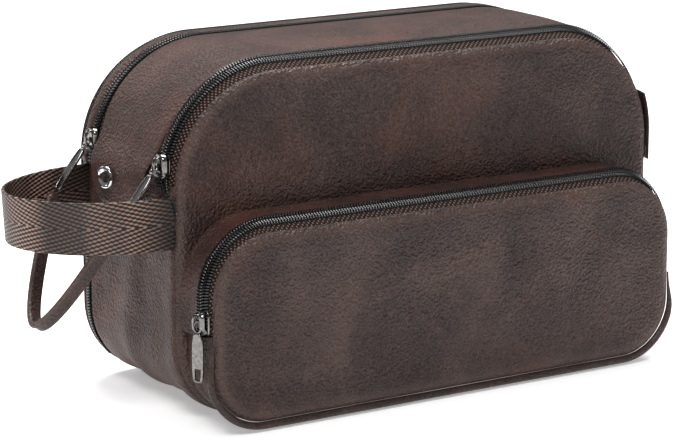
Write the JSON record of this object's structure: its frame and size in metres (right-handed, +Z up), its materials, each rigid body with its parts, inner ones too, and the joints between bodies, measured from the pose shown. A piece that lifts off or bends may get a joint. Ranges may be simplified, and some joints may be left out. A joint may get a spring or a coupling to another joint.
{
  "type": "wash bag",
  "caption": "Boxy leather wash bag with a two-zip lift-up lid, zipped back panel, front zip pocket, webbing side handle and a strap joining the top pulls.",
  "frame": {"origin": "centre of the main body's flat base, midway along its length, on the surface that it stands on", "axes": "+X along the length, away from the side handle; +Y from the front pocket towards the back panel; +Z up"},
  "size_m": [0.3363, 0.1256, 0.1684],
  "materials": {
    "leather": "satin, mottled and creased",
    "leather_trim": "satin",
    "lining": "matt woven polyester",
    "zip_tape": "matt woven tape",
    "zip_coil": "moulded nylon",
    "webbing": "herringbone nylon with a soft sheen",
    "zip_metal": "dark nickel plate",
    "snap_metal": "polished",
    "board": "plain"
  },
  "bodies": {
    "root": {"back_zip_coil": "zip_coil", "back_zip_tape": "zip_tape", "base_board": "board", "bottom_panel": "leather", "divider_panel": "lining", "front_lining": "lining", "front_panel": "leather", "front_zip_coil": "zip_coil", "front_zip_end_tab": "leather_trim", "front_zip_tape": "zip_tape", "handle_front_anchor": "webbing", "handle_rear_anchor": "webbing", "left_side_panel": "leather", "main_lining": "lining", "pocket_bottom_gusset": "leather", "pocket_gusset": "leather", "pocket_lining": "lining", "pocket_lower_front": "leather", "pocket_piping": "leather_trim", "pocket_zip_coil": "zip_coil", "pocket_zip_stub_left": "leather_trim", "pocket_zip_stub_right": "leather_trim", "pocket_zip_tape": "zip_tape", "rear_strip": "leather", "rear_zip_coil": "zip_coil", "rear_zip_end_tab": "leather_trim", "rear_zip_tape": "zip_tape", "right_side_panel": "leather", "snap_post": "snap_metal", "snap_stud": "snap_metal"},
    "lid": {"lid_strip": "leather", "lid_lining": "lining", "lid_front_zip_tape": "zip_tape", "lid_front_zip_coil": "zip_coil", "lid_rear_zip_tape": "zip_tape", "lid_rear_zip_coil": "zip_coil", "snap_cap": "snap_metal", "snap_socket": "snap_metal"},
    "back": {"back_panel": "leather", "back_lining": "lining", "back_panel_zip_tape": "zip_tape", "back_panel_zip_coil": "zip_coil"},
    "flap": {"pocket_flap": "leather", "pocket_flap_lining": "lining", "pocket_flap_zip_tape": "zip_tape", "pocket_flap_zip_coil": "zip_coil"},
    "front_slider": {"front_zip_slider": "zip_metal"},
    "rear_slider": {"rear_zip_slider": "zip_metal"},
    "front_pull": {"front_zip_pull": "zip_metal"},
    "rear_pull": {"rear_zip_pull": "zip_metal"},
    "strap": {"pull_strap": "leather_trim"},
    "back_slider": {"back_zip_slider": "zip_metal"},
    "back_pull": {"back_zip_pull": "zip_metal"},
    "pocket_slider": {"pocket_zip_slider": "zip_metal"},
    "pocket_pull": {"pocket_zip_pull": "zip_metal"},
    "handle": {"handle_webbing": "webbing"}
  },
  "joints": [
    {"name": "lid_open", "type": "hinge", "parent": "root", "child": "lid", "pos_m": [0.1353, 0, 0.1], "axis": [0, 1, 0], "range_deg": [0, 90]},
    {"name": "back_open", "type": "hinge", "parent": "root", "child": "back", "pos_m": [0, 0.0523, 0], "axis": [-1, 0, 0], "range_deg": [0, 80]},
    {"name": "pocket_open", "type": "hinge", "parent": "root", "child": "flap", "pos_m": [0, -0.0732, 0.046], "axis": [1, 0, 0], "range_deg": [0, 70]},
    {"name": "front_slider_travel", "type": "hinge", "parent": "root", "child": "front_slider", "pos_m": [-0.089, -0.0365, 0.122], "axis": [0, 1, 0], "range_deg": [0, 45]},
    {"name": "rear_slider_travel", "type": "hinge", "parent": "root", "child": "rear_slider", "pos_m": [-0.089, 0.033, 0.122], "axis": [0, 1, 0], "range_deg": [0, 45]},
    {"name": "front_pull_hang", "type": "hinge", "parent": "front_slider", "child": "front_pull", "pos_m": [-0.139, -0.0365, 0.122], "axis": [0, 1, 0], "range_deg": [-36, 0]},
    {"name": "rear_pull_hang", "type": "hinge", "parent": "rear_slider", "child": "rear_pull", "pos_m": [-0.139, 0.033, 0.122], "axis": [0, 1, 0], "range_deg": [-36, 0]},
    {"name": "strap_swing", "type": "hinge", "parent": "front_pull", "child": "strap", "pos_m": [-0.15642, -0.00175, 0.0997], "axis": [0, 1, 0], "range_deg": [-20, 10]},
    {"name": "back_slider_travel", "type": "slide", "parent": "root", "child": "back_slider", "axis": [0, 0, 1], "range_m": [0, 0.04]},
    {"name": "back_pull_swing", "type": "hinge", "parent": "back_slider", "child": "back_pull", "pos_m": [0.139, 0.046, 0.05], "axis": [0, -1, 0], "range_deg": [0, 110]},
    {"name": "pocket_slider_travel", "type": "slide", "parent": "root", "child": "pocket_slider", "axis": [0, 0, 1], "range_m": [0, 0.01]},
    {"name": "pocket_pull_swing", "type": "hinge", "parent": "pocket_slider", "child": "pocket_pull", "pos_m": [-0.134, -0.065, 0.054], "axis": [0, 1, 0], "range_deg": [0, 110]},
    {"name": "handle_swing", "type": "hinge", "parent": "root", "child": "handle", "pos_m": [-0.1483, -0.0015, 0.0965], "axis": [0, 1, 0], "range_deg": [-25, 35]}
  ],
  "couplings": [
    {"joint": "rear_slider_travel", "follows": "front_slider_travel", "ratio": 1},
    {"joint": "front_pull_hang", "follows": "front_slider_travel", "ratio": -0.8},
    {"joint": "rear_pull_hang", "follows": "front_slider_travel", "ratio": -0.8}
  ]
}
